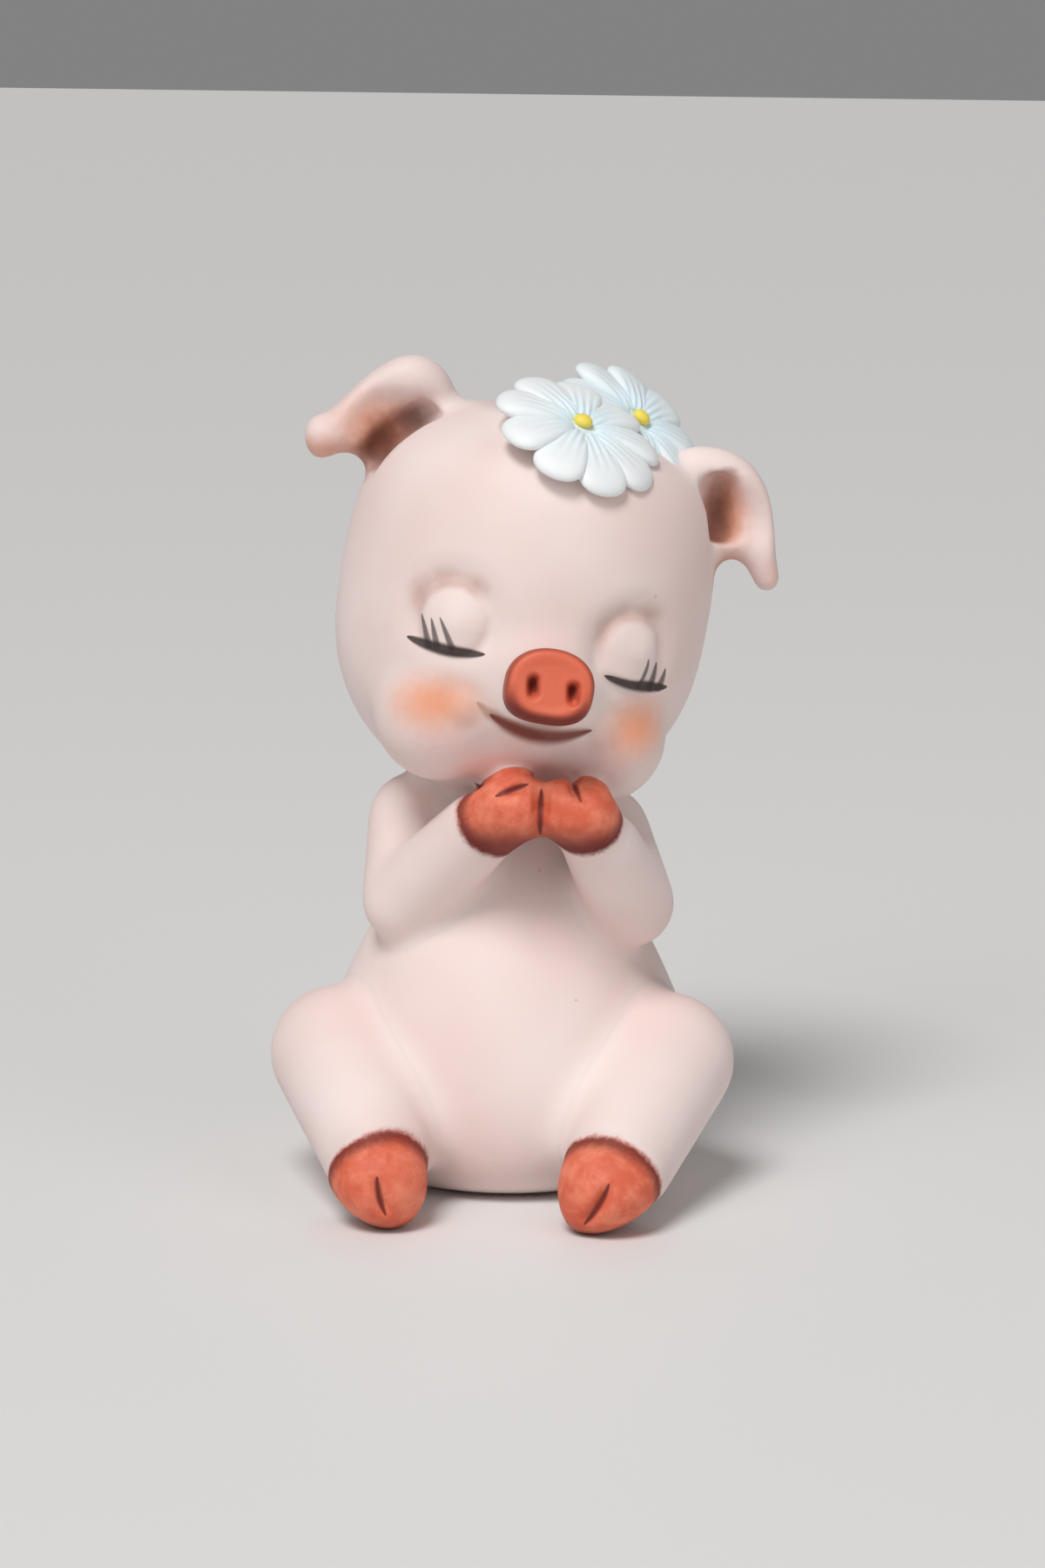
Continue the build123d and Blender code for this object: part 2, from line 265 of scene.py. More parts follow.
def distance_to_line(points, line):
    """Each point's distance to a line of points, and how far along it the nearest place is, from 0 to 1."""
    line = np.array([tuple(place) for place in line])
    lengths = np.linalg.norm(np.diff(line, axis=0), axis=1)
    starts = np.concatenate(([0], np.cumsum(lengths)))
    nearest = np.full(len(points), np.inf)
    along = np.zeros(len(points))
    for start, end, length, before in zip(line, line[1:], lengths, starts):
        share = np.clip((points - start) @ (end - start) / length**2, 0, 1)
        gap = np.linalg.norm(points - start - share[:, None] * (end - start), axis=1)
        closer = gap < nearest
        nearest = np.where(closer, gap, nearest)
        along = np.where(closer, (before + share * length) / starts[-1], along)
    return nearest, along


def press(piece, line, width, depth, fade=0.15):
    """Presses a soft groove into a piece along a line, or raises a ridge where the depth is below 0."""
    points = points_of(piece)
    gap, along = distance_to_line(points, line)
    profile = np.clip(1 - (gap / width) ** 2, 0, None) ** 2
    ends = np.clip(np.minimum(along, 1 - along) / fade, 0, 1) if fade else 1
    shift = depth * profile * np.sqrt(ends)
    move_points(piece, points - normals_of(piece) * shift[:, None])


def bulge(piece, centre, radius, height):
    """Raises a soft mound on a piece around a place."""
    hair = Vector((0, 0, 0.01 * MM))
    press(piece, [centre, Vector(centre) + hair], radius, -height, fade=0)


def arc(start, middle, end, count=12):
    """Points along a smooth bow from a start through a middle to an end."""
    control = middle * 2 - (start + end) / 2
    shares = [step / count for step in range(count + 1)]
    return [start * (1 - t) ** 2 + control * 2 * t * (1 - t) + end * t**2 for t in shares]


def on_head(x, y, z):
    """A place given in the head's frame, in millimetres."""
    return head_place @ (Vector((x, y, z)) * MM)


def seen(piece, *places):
    """Where the camera sees each of some places on a piece's skin."""
    bpy.context.view_layer.update()
    spots = []
    for place in places:
        hit, spot, _, _ = piece.ray_cast(camera_place, (place - camera_place).normalized())
        spots.append(spot if hit and (spot - place).length < seen_reach else place)
    return spots


def seen_on_head(piece, *places):
    """Where the camera sees places of the head's frame, given in millimetres, on a piece's skin."""
    return seen(piece, *[on_head(*place) for place in places])


def soft_step(values, low, high):
    """Each value's soft step from 0 at a low value to 1 at a high one."""
    share = np.clip((values - low) / (high - low), 0, 1)
    return share * share * (3 - 2 * share)


# The clay skin


def cut(piece, tool, operation):
    """Cuts a piece with a tool, which stays."""
    modify(piece, "BOOLEAN", operation=operation, object=tool, solver="MANIFOLD")


def join(name, *parts):
    """Joins pieces into one."""
    pick(*parts)
    if len(parts) > 1:
        bpy.ops.object.join()
    bpy.context.object.name = name
    return bpy.context.object


def trimmed_hoof(node):
    """A hoof's solid, trimmed to the photographed one."""
    scale, shift, lean, narrowing = hoof_trims[node]
    hoof = node_copy(node, node)
    points = points_of(hoof)
    low, high = points.min(axis=0), points.max(axis=0)
    middle = (low + high) / 2
    points = (points - middle) * scale + middle + np.array(shift) * MM
    sunk = np.clip((middle[2] - points[:, 2]) / (middle[2] - low[2]), 0, 1) ** 2
    points[:, 0] += sunk * (lean * MM - narrowing * (points[:, 0] - middle[0]))
    move_points(hoof, points)
    return hoof


def blend(name, fillet, *parts):
    """One even skin over some pieces, with the creases between them filled."""
    piece = join(name, *parts)
    remesh(piece)
    fill_creases(piece, fillet)
    return piece


def inner_toe():
    """The left front hoof's inner toe, which rests against the right hoof."""
    toe = unit_sphere()
    size = Matrix.Diagonal((*Vector(toe_size) * MM, 1))
    toe.data.transform(Matrix.Translation(Vector(toe_centre) * MM) @ size)
    return toe


def model_skin():
    """The whole pink figure as one skin, with soft seams, and the head and ears that it was made from."""
    hind_hooves = [trimmed_hoof(node) for node in ("hind_hoof_left", "hind_hoof_right")]
    lower = node_copy("lower", "torso_shell", "leg_left", "leg_right")
    lower = blend("lower", leg_fillet, lower, *hind_hooves)
    fore_hooves = [trimmed_hoof(node) for node in ("fore_hoof_left", "fore_hoof_right")]
    arms = node_copy("arms", "arm_left", "arm_right")
    arms = blend("arms", arm_fillet, arms, inner_toe(), *fore_hooves)
    face = blend("face", face_fillet, node_copy("face", "head_shell"))
    ears = [blend(node, ear_fillet, node_copy(node, node)) for node in ("ear_left", "ear_right")]
    moulds = {"head_shell": face, "ear_left": ears[0], "ear_right": ears[1]}
    moulds = {node: copy_of(mould, f"{node}_mould") for node, mould in moulds.items()}
    head = blend("head", ear_seam_fillet, face, *ears)
    body = blend("body", arm_seam_fillet, lower, arms)
    return blend("skin", neck_fillet, body, head), moulds


# Places in the head's frame, in millimetres, that the photograph shows
eye_places = {
    "right": ((-11.4, -18.0, -0.9), ((-15.1, -14.4, -3.9), (-11.1, -17.7, -4.3), (-7.1, -19.7, -3.9))),
    "left": ((9.5, -18.9, -1.5), ((6.4, -20.0, -4.2), (10.5, -18.0, -5.0), (14.9, -14.5, -5.2))),
}
# Spots of painted shade in the creases above the eyes, each with its place and size
crease_shade_spots = {
    "right": (
        ((-14.4, -15.4, 1.0), (2.4, 3.0, 3.2)),
        ((-12.4, -17.0, 2.9), (3.4, 3.0, 2.6)),
        ((-9.8, -18.9, 3.0), (3.2, 3.0, 2.2)),
    ),
    "left": (
        ((5.7, -20.2, 0.2), (2.2, 3.0, 3.8)),
        ((7.5, -19.7, 2.2), (3.0, 3.0, 2.8)),
        ((10.2, -18.2, 2.8), (3.6, 3.0, 2.2)),
    ),
}
mouth_places = ((-5.4, -19.4, -10.4), (1.2, -20.9, -11.7), (6.5, -18.3, -10.7))
smile_places = ((-6.9, -18.6, -9.4), (-3.2, -20.2, -11.3), (1.1, -20.6, -11.9))
cup_places = (
    ((18.0, -7.2, 18.8), (19.7, -5.6, 14.4), (20.6, -5.0, 10.6)),
    ((-14.2, -0.6, 21.0), (-17.0, 0.4, 17.0), (-20.0, 2.0, 12.4)),
)

# Soft mounds in the head's frame, in millimetres, each with its place, radius and height:
# the chin and the mouth's corners, then the right ear's tip and top
face_mounds = (
    ((1.4, -18.6, -14.4), 3.4, 0.45),
    ((-8.2, -17.6, -10.4), 2.6, 0.55),
    ((8.2, -16.8, -11.0), 2.6, 0.55),
)
ear_mounds = (
    ((-26.6, 4.0, 14.6), 3.6, 0.7),
    ((-16.6, 0.0, 22.6), 5.0, 1.0),
)

# The eyes: how deep and wide each hollow is, and how high and wide the lid's dome is, in millimetres
hollow_depth, hollow_reach = 1.7, 8.0
lid_height, lid_reach = 2.3, 4.4

# The front hooves' toes, then the clefts and the front hooves' seam with their places, width and depth,
# in millimetres
toe_places = ((2.4, -21.5, 49.4), (6.6, -21.5, 48.8), (11.0, -21.0, 48.8))
hoof_clefts = {
    "right_leg": (((-12.2, -33.8, 7.2), (-11.9, -33.6, 4.6), (-11.3, -32.6, 2.4)), 1.0, 1.1),
    "left_leg": (((13.2, -33.6, 7.0), (12.2, -33.2, 4.6), (10.4, -31.8, 1.7)), 1.1, 1.1),
    "right_arm": (((-0.3, -23.0, 47.6), (1.6, -22.2, 48.3), (3.3, -21.0, 48.7)), 0.9, 1.2),
    "left_arm": (((7.9, -19.8, 49.3), (8.4, -21.4, 48.5), (9.2, -22.8, 47.1)), 1.0, 1.2),
    "seam": (((4.7, -20.8, 48.2), (4.7, -22.5, 46.3), (4.7, -22.8, 43.4)), 1.3, 1.6),
}


def shape_eye(skin, side):
    """One closed eye: a wide hollow, and in it the lid's dome, which ends below in the lid line."""
    centre, line = eye_places[side]
    (centre,) = seen_on_head(skin, centre)
    start, middle, end = seen_on_head(skin, *line)
    points = points_of(skin)
    reach = np.linalg.norm(points - np.array(centre), axis=1) / MM
    run = np.array(end - start)
    share = np.clip((points - np.array(start)) @ run / (run @ run), 0, 1)
    sag = (start.z + end.z) / 2 - middle.z
    over = (points[:, 2] - start.z - share * run[2] + sag * 4 * share * (1 - share)) / MM
    hollow = hollow_depth * np.clip(1 - (reach / hollow_reach) ** 2, 0, None) ** 2
    hollow = hollow * soft_step(over, -3.0, 2.0)
    dome = lid_height * np.clip(1 - (reach / lid_reach) ** 2, 0, None) ** 0.75
    dome = dome * soft_step(over, -0.3, 0.3)
    move_points(skin, points + normals_of(skin) * ((dome - hollow) * MM)[:, None])


def shape_face(skin):
    """Eyes, mouth and the ears' cups, pressed into the soft skin."""
    shape_eye(skin, "right")
    shape_eye(skin, "left")
    press(skin, arc(*seen_on_head(skin, *mouth_places)), 1.3 * MM, 1.0 * MM, fade=0.35)
    for place, radius, height in face_mounds:
        bulge(skin, *seen_on_head(skin, place), radius * MM, height * MM)
    for cup in [seen_on_head(skin, *places) for places in cup_places]:
        press(skin, cup, 2.9 * MM, 2.8 * MM, fade=0.2)
    for place, radius, height in ear_mounds:
        bulge(skin, *seen_on_head(skin, place), radius * MM, height * MM)


def shape_hooves(skin):
    """The front hooves' toes, the clefts between toes, and the groove where the front hooves meet."""
    for toe in toe_places:
        bulge(skin, *seen(skin, Vector(toe) * MM), 2.2 * MM, 0.5 * MM)
    for places, width, depth in hoof_clefts.values():
        line = seen(skin, *[Vector(place) * MM for place in places])
        press(skin, line, width * MM, depth * MM, fade=0.25)


def part_off(skin, node, moulds):
    """Parts the piece of a node off the skin, with a margin that takes in its seam, and returns it."""
    hoof = node in hoof_trims
    tool = moulds.get(node) or (trimmed_hoof(node) if hoof else node_copy("tool", node))
    if node == "fore_hoof_left":
        tool = join("tool", inner_toe(), tool)
    remesh(tool, tool_grain)
    swell(tool, hoof_margin if hoof else parting_margin)
    remesh(tool, tool_grain)
    if node.startswith("fore_hoof"):
        chin = copy_of(moulds["head_shell"], "chin")
        swell(chin, chin_clearance)
        remesh(chin, tool_grain)
        cut(tool, chin, "DIFFERENCE")
        bpy.data.objects.remove(chin)
    piece = copy_of(skin, f"{node}_skin")
    cut(piece, tool, "INTERSECT")
    cut(skin, tool, "DIFFERENCE")
    bpy.data.objects.remove(tool)
    return piece


def finish_piece(piece, material, slot, *nodes):
    """Thins and smooths a piece, paints it and lets it stand for its nodes."""
    triangles = sum(len(face.vertices) - 2 for face in piece.data.polygons)
    if triangles > most_triangles:
        modify(piece, "DECIMATE", ratio=most_triangles / triangles)
    pick(piece)
    bpy.ops.object.shade_smooth_by_angle(angle=sharp_angle)
    piece.data.materials.clear()
    piece.data.materials.append(material)
    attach(piece, "root")
    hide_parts(*nodes)


# Snout, tail and flowers

# The snout in millimetres: its half width, half height and depth, and its middle in the head's frame.
# Then how it is turned, and how square its rim is above and below, where 2 is an ellipse
snout_size = (4.85, 4.1, 7.0)
snout_middle = (-0.22, -23.2, -5.9)
snout_swing, snout_lean = radians(-8), radians(80)
upper_power, lower_power = 2.2, 2.9


def rim_turn(points, wide, tall):
    """Each of a snout's points' turn about its middle, and the rim's power there."""
    turn = np.arctan2(points[:, 1] / tall, points[:, 0] / wide)
    return turn, np.where(turn < 0, lower_power, upper_power)


def model_snout():
    """The snout: a thick soft-edged disc, squarer below, with two upright nostrils."""
    wide, tall, deep = [side * MM for side in snout_size]
    bpy.ops.object.select_all(action="DESELECT")
    bpy.ops.mesh.primitive_cylinder_add(vertices=96, radius=1, depth=1)
    snout = bpy.context.object
    snout.name = "snout_disc"
    edit(snout)
    bpy.ops.transform.resize(value=(wide, tall, deep))
    done()
    modify(snout, "BEVEL", width=1.0 * MM, segments=5, limit_method="ANGLE")
    points = points_of(snout)
    turn, power = rim_turn(points, wide, tall)
    squarer = (np.abs(np.cos(turn)) ** power + np.abs(np.sin(turn)) ** power) ** (-1 / power)
    points[:, :2] *= squarer[:, None]
    move_points(snout, points)
    remesh(snout, snout_grain)
    relax(snout, 6)
    points = points_of(snout)
    _, power = rim_turn(points, wide, tall)
    out = (np.abs(points[:, 0] / wide) ** power + np.abs(points[:, 1] / tall) ** power) ** (1 / power)
    # Painted shade on the snout's rim: a thin band all round, and a wider one below
    below = soft_step(-points[:, 1] / tall, -0.1, 0.8)
    rim_painted_shade = np.maximum(0.6 * soft_step(out, 0.84, 0.96), soft_step(out, 0.66, 0.86) * below)
    mark_points(snout, "rim_painted_shade", rim_painted_shade)
    turns = [radians(angle) for angle in range(0, 361, 15)]
    rim = [Vector((0.84 * wide * cos(t), 0.84 * tall * sin(t), deep / 2)) for t in turns]
    press(snout, rim, 1.3 * MM, -0.22 * MM, fade=0)
    for side, height in ((-1.8, -0.35), (2.55, -0.45)):
        top = Vector((side - 0.1, height + 0.65, 3.5)) * MM
        bottom = Vector((side + 0.1, height - 0.65, 3.5)) * MM
        for width, depth in ((1.0, 1.6), (1.8, -0.15)):
            press(snout, [top, bottom], width * MM, depth * MM, fade=0)
    relax(snout, 3)
    stand = Matrix.Translation(Vector(snout_middle) * MM)
    aim = Matrix.Rotation(snout_swing, 4, "Z") @ Matrix.Rotation(snout_lean, 4, "X")
    snout.data.transform(head_place @ stand @ aim)
    return snout


def model_tail():
    """The tail: a tapering curl that lies against the back."""
    steps, first_turn, full_turn = 14, -110, 330
    root_radius, tapering = 1.4 * MM, 0.45
    root_reach, closing = 2.75, 1.1
    root_rise, rising = 0.1, 1.1
    low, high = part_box("tail")
    middle = (low + high) / 2
    curve = bpy.data.curves.new("tail_curl", "CURVE")
    curve.dimensions = "3D"
    curve.bevel_depth = root_radius
    curve.bevel_resolution = 8
    spline = curve.splines.new("NURBS")
    spline.points.add(steps)
    for step in range(steps + 1):
        share = step / steps
        angle = radians(first_turn + full_turn * share)
        reach = (root_reach - closing * share) * MM
        spline.points[step].co = (
            middle.x + reach * cos(angle),
            low.y + (root_rise + rising * share) * MM,
            middle.z + reach * sin(angle),
            1,
        )
        spline.points[step].radius = 1 - tapering * share
    spline.order_u = 4
    spline.use_endpoint_u = True
    curve.use_fill_caps = True
    pick(new_object("tail_curl", curve))
    bpy.ops.object.convert(target="MESH")
    tail = bpy.context.object
    remesh(tail, tail_grain)
    relax(tail, 8)
    return tail


# How far a flower's button stands off its petals' root, and the turn from one petal to the next in degrees.
# Then the grooves: where they lie across a petal, how wide and deep they are, and a pad's number and depth
button_rise = 1.15 * MM
petal_step = 40
petal_lanes, lane_width, petal_groove = (-0.56, -0.19, 0.19, 0.56), 0.12, 0.24 * MM
pad_ridges, pad_groove = 27, 0.16 * MM


def flower_frame(name, turn, tilt):
    """A flower's frame, from its button: its face is +Z."""
    low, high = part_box(f"flower_{name}_button")
    face = head_turn @ Matrix.Rotation(turn, 4, "Z") @ Matrix.Rotation(tilt, 4, "X")
    centre = (low + high) / 2 - face @ Vector((0, 0, button_rise))
    return Matrix.Translation(centre) @ face


def model_petal(length, curl):
    """A petal that points along +X: a plump paddle with a soft edge and grooves that run from its root."""
    petal = unit_sphere(72, 40)
    points = points_of(petal)
    along = (points[:, 0] + 1) / 2
    across = points[:, 1]
    rim = np.clip(points[:, 0] ** 2 + points[:, 1] ** 2, 0, 1)
    top = points[:, 2] > 0
    x = (1.0 + (length - 1.0) * along) * MM
    y = across * (2.0 + 2.5 * along**2) * MM
    z = np.sign(points[:, 2]) * (1 - rim**2) ** 0.5 * np.where(top, 1.15, 1.0) * MM
    groove = np.zeros(len(points))
    for lane in petal_lanes:
        groove = np.maximum(groove, np.exp(-(((across - lane) / lane_width) ** 2)))
    groove *= np.clip(1.2 - 1.5 * along, 0, 1) * top
    z -= petal_groove * groove + curl * along**2
    move_points(petal, np.stack([x, y, z], axis=1))
    # The grooves' depth is kept as a mask for the painted shade in them
    mark_points(petal, "groove", groove)
    return petal


def model_flower(name, frame_of, length, curl, first, count, droop, swing, rising):
    """A flower's petals, pad and button, as pieces in their places; the petals rise towards one side."""
    made = []
    petal = model_petal(length, curl)
    for number in range(count):
        turn = radians(first + petal_step * number)
        piece = copy_of(petal, f"{name}_petal_{number + 1}")
        hang = radians(droop - swing * cos(turn - radians(rising)))
        piece.data.transform(
            frame_of
            @ Matrix.Rotation(turn, 4, "Z")
            @ Matrix.Rotation(hang, 4, "Y")
            @ Matrix.Translation((0, 0, 0.95 * MM))
        )
        made.append((piece, f"flower_{name}_petal_{number + 1}"))
    bpy.data.objects.remove(petal)
    for kind, radius, height, lift, grooved in (
        ("pad", 0.8 * length, 1.3, 0.0, 1),
        ("button", 1.05, 0.7, 1.7, 0),
    ):
        piece = unit_sphere(216, 40)
        piece.name = f"{name}_{kind}"
        points = points_of(piece)
        out = np.linalg.norm(points[:, :2], axis=1)
        turns = np.arctan2(points[:, 1], points[:, 0]) - radians(first)
        ridges = np.cos(pad_ridges * turns) * 0.5 + 0.5
        groove = ridges**3 * soft_step(out, 0.2, 0.5) * (points[:, 2] > 0) * grooved
        points *= np.array((radius, radius, height)) * MM
        points[:, 2] -= pad_groove * groove
        move_points(piece, points)
        # The grooves' depth is kept as a mask for the painted shade in them
        mark_points(piece, "groove", groove)
        lean = Matrix.Rotation(radians(rising), 4, "Z") @ Matrix.Rotation(radians(-swing * grooved), 4, "Y")
        lean = lean @ Matrix.Rotation(radians(-rising), 4, "Z")
        piece.data.transform(frame_of @ Matrix.Translation((0, 0, lift * MM)) @ lean)
        made.append((piece, f"flower_{name}_{kind}"))
    return made


# Shader work


def add_node(tree, kind, inputs=None, **settings):
    """A node with its settings, whose inputs are values or other nodes' sockets."""
    made = tree.nodes.new(kind)
    for name, value in settings.items():
        setattr(made, name, value)
    for name, value in (inputs or {}).items():
        if isinstance(value, bpy.types.NodeSocket):
            tree.links.new(value, made.inputs[name])
        else:
            made.inputs[name].default_value = value
    return made


def maths(tree, operation, first, second=0.0, clamp=False):
    """The result of a sum of two numbers."""
    inputs = {0: first, 1: second}
    return add_node(tree, "ShaderNodeMath", inputs, operation=operation, use_clamp=clamp).outputs[0]


def vectors(tree, operation, first, second=(0, 0, 0), output=0):
    """The result of a sum of two vectors."""
    inputs = {0: first, 1: second}
    return add_node(tree, "ShaderNodeVectorMath", inputs, operation=operation).outputs[output]


def scaled(tree, vector, scale):
    """A vector times a number."""
    inputs = {0: vector, "Scale": scale}
    return add_node(tree, "ShaderNodeVectorMath", inputs, operation="SCALE").outputs[0]


def place_in(tree):
    """The place on the piece that is painted, in metres."""
    return add_node(tree, "ShaderNodeTexCoord").outputs["Object"]


def noise(tree, place, scale, detail, roughness=0.5):
    """A cloudy value from 0 to 1."""
    inputs = {"Vector": place, "Scale": scale, "Detail": detail, "Roughness": roughness}
    return add_node(tree, "ShaderNodeTexNoise", inputs).outputs[0]


def wobble(tree, cloud, reach):
    """A cloudy value's swing about its middle, as a distance."""
    return maths(tree, "MULTIPLY", maths(tree, "SUBTRACT", cloud, 0.5), reach)


def fade(tree, value, empty, full):
    """A soft step from 0 at one value to 1 at another."""
    inputs = {"Value": value, "From Min": empty, "From Max": full}
    return add_node(tree, "ShaderNodeMapRange", inputs, interpolation_type="SMOOTHSTEP").outputs["Result"]


def mixed(tree, share, first, second):
    """A colour between two, by a share."""
    return add_node(tree, "ShaderNodeMix", {0: share, 6: first, 7: second}, data_type="RGBA").outputs[2]


def washed(tree, base, colour, mask, strength):
    """A base colour with another laid over it where a mask is full, by a strength."""
    return mixed(tree, maths(tree, "MULTIPLY", mask, strength), base, colour)


def new_group(name, inputs, outputs):
    """An empty node group with its sockets, given as name, kind and value, and its two end nodes."""
    tree = bpy.data.node_groups.new(name, "ShaderNodeTree")
    for label, kind, value in inputs:
        socket = tree.interface.new_socket(label, in_out="INPUT", socket_type=f"NodeSocket{kind}")
        socket.default_value = value
    for label, kind in outputs:
        tree.interface.new_socket(label, in_out="OUTPUT", socket_type=f"NodeSocket{kind}")
    return tree, tree.nodes.new("NodeGroupInput"), tree.nodes.new("NodeGroupOutput")


def use_group(tree, group, **inputs):
    """A group's node, with its inputs set."""
    return add_node(tree, "ShaderNodeGroup", inputs, node_tree=group)


def make_fired_clay():
    """Group: the cloudy tone, fine tooth and stray specks of matt fired clay."""
    tree, given, out = new_group(
        "fired_clay",
        [("Tooth", "Float", 1.0)],
        [("Cloud", "Float"), ("Specks", "Float"), ("Height", "Float")],
    )
    place = place_in(tree)
    cloud = noise(tree, place, 60.0, 2.0, 0.4)
    grain = noise(tree, place, 3800.0, 3.0, 0.6)
    waves = noise(tree, place, 420.0, 2.0)
    dots = add_node(tree, "ShaderNodeTexVoronoi", {"Vector": place, "Scale": 230.0, "Randomness": 1.0})
    rare = add_node(tree, "ShaderNodeSeparateColor", {"Color": dots.outputs["Color"]})
    chosen = fade(tree, rare.outputs[0], 0.80, 0.84)
    dot = fade(tree, dots.outputs["Distance"], 0.055, 0.02)
    specks = maths(tree, "MULTIPLY", chosen, dot)
    tooth = maths(tree, "MULTIPLY", grain, given.outputs["Tooth"])
    height = maths(tree, "ADD", maths(tree, "MULTIPLY", tooth, 0.25), maths(tree, "MULTIPLY", waves, 0.9))
    height = maths(tree, "SUBTRACT", height, maths(tree, "MULTIPLY", specks, 0.4))
    tree.links.new(cloud, out.inputs["Cloud"])
    tree.links.new(specks, out.inputs["Specks"])
    tree.links.new(height, out.inputs["Height"])
    return tree


def make_soft_spot():
    """Group: an airbrushed spot, full in its middle and gone at its edge."""
    tree, given, out = new_group(
        "soft_spot",
        [("Centre", "Vector", (0, 0, 0)), ("Size", "Vector", (1, 1, 1)), ("Core", "Float", 0.2)],
        [("Mask", "Float")],
    )
    place = place_in(tree)
    offset = vectors(tree, "SUBTRACT", place, given.outputs["Centre"])
    reach = vectors(tree, "LENGTH", vectors(tree, "DIVIDE", offset, given.outputs["Size"]), output=1)
    ragged = maths(tree, "ADD", reach, wobble(tree, noise(tree, place, 900.0, 4.0), 0.25))
    tree.links.new(fade(tree, ragged, 1.0, given.outputs["Core"]), out.inputs["Mask"])
    return tree


def make_brush_stroke():
    """Group: a painted stroke that bows from a start to an end, seen from the side that it faces."""
    tree, given, out = new_group(
        "brush_stroke",
        [
            ("Start", "Vector", (0, 0, 0)),
            ("End", "Vector", (0, 0, 1)),
            ("Bow", "Vector", (0, 0, 0)),
            ("Facing", "Vector", (0, -1, 0)),
            ("Width", "Float", 0.001),
            ("Lens", "Float", 1.0),
            ("Softness", "Float", 0.3),
            ("Reach", "Float", 0.004),
        ],
        [("Mask", "Float"), ("Along", "Float")],
    )
    place = place_in(tree)
    run = vectors(tree, "SUBTRACT", given.outputs["End"], given.outputs["Start"])
    offset = vectors(tree, "SUBTRACT", place, given.outputs["Start"])
    along = maths(
        tree,
        "DIVIDE",
        vectors(tree, "DOT_PRODUCT", offset, run, output=1),
        vectors(tree, "DOT_PRODUCT", run, run, output=1),
        clamp=True,
    )
    back = maths(tree, "SUBTRACT", 1.0, along)
    hump = maths(tree, "MULTIPLY", maths(tree, "MULTIPLY", along, back), 4.0)
    bowed = scaled(tree, given.outputs["Bow"], hump)
    straight = scaled(tree, run, along)
    gap = vectors(tree, "SUBTRACT", vectors(tree, "SUBTRACT", offset, straight), bowed)
    depth = vectors(tree, "DOT_PRODUCT", gap, given.outputs["Facing"], output=1)
    sunk = scaled(tree, given.outputs["Facing"], depth)
    flat_gap = vectors(tree, "LENGTH", vectors(tree, "SUBTRACT", gap, sunk), output=1)
    lens = maths(tree, "POWER", hump, 0.6)
    taper = maths(tree, "POWER", back, 0.55)
    shape = add_node(tree, "ShaderNodeMix", {0: given.outputs["Lens"], 2: taper, 3: lens}).outputs[0]
    width = maths(tree, "MULTIPLY", given.outputs["Width"], shape)
    share = maths(tree, "DIVIDE", flat_gap, maths(tree, "ADD", width, 0.00001))
    outer = maths(tree, "ADD", 1.0, given.outputs["Softness"])
    inner = maths(tree, "SUBTRACT", 1.0, given.outputs["Softness"])
    mask = fade(tree, share, outer, inner)
    near = maths(tree, "LESS_THAN", maths(tree, "ABSOLUTE", depth), given.outputs["Reach"])
    tree.links.new(maths(tree, "MULTIPLY", mask, near), out.inputs["Mask"])
    tree.links.new(along, out.inputs["Along"])
    return tree


def make_dipped_end():
    """Group: the brushed colour of a hoof, from an edge across the limb to its end, with a darker rim."""
    tree, given, out = new_group(
        "dipped_end",
        [("Edge", "Vector", (0, 0, 0)), ("Axis", "Vector", (0, 0, 1)), ("Reach", "Float", 0.012)],
        [("Cover", "Float"), ("Rim", "Float")],
    )
    place = place_in(tree)
    offset = vectors(tree, "SUBTRACT", place, given.outputs["Edge"])
    past = vectors(tree, "DOT_PRODUCT", offset, given.outputs["Axis"], output=1)
    bristle = wobble(tree, noise(tree, place, 1500.0, 5.0, 0.7), 0.0011)
    drift = wobble(tree, noise(tree, place, 260.0, 1.0), 0.0009)
    past = maths(tree, "ADD", past, maths(tree, "ADD", bristle, drift))
    near = maths(tree, "LESS_THAN", vectors(tree, "LENGTH", offset, output=1), given.outputs["Reach"])
    cover = maths(tree, "MULTIPLY", fade(tree, past, -0.0006, 0.0004), near)
    rim = maths(tree, "MULTIPLY", fade(tree, past, 0.0024, 0.0005), cover)
    tree.links.new(cover, out.inputs["Cover"])
    tree.links.new(rim, out.inputs["Rim"])
    return tree


fired_clay = make_fired_clay()
soft_spot = make_soft_spot()
brush_stroke = make_brush_stroke()
dipped_end = make_dipped_end()


def clay_material(name, roughness):
    """A material with the fired clay's effects laid on its shader, and what its paint needs."""
    material = bpy.data.materials.new(name)
    material.use_nodes = True
    tree = material.node_tree
    shader = tree.nodes["Principled BSDF"]
    clay = use_group(tree, fired_clay)
    relief = {"Height": clay.outputs["Height"], "Strength": 0.35, "Distance": 0.00012}
    bump = add_node(tree, "ShaderNodeBump", relief)
    tree.links.new(bump.outputs["Normal"], shader.inputs["Normal"])
    rough = maths(tree, "ADD", maths(tree, "MULTIPLY", clay.outputs["Cloud"], 0.14), roughness - 0.07)
    tree.links.new(rough, shader.inputs["Roughness"])
    shader.inputs["Specular IOR Level"].default_value = 0.35
    shader.inputs["Subsurface Weight"].default_value = 0.12
    shader.inputs["Subsurface Radius"].default_value = (0.0018, 0.0009, 0.0007)
    shader.inputs["Subsurface Scale"].default_value = 1.0
    return material, tree, shader, clay


def spot(tree, base, colour, centre, size, strength=1.0, core=0.2):
    """Airbrushes a spot of colour over a base colour."""
    size = [side * MM for side in size]
    mask = use_group(tree, soft_spot, Centre=centre, Size=size, Core=core).outputs["Mask"]
    return washed(tree, base, colour, mask, strength)


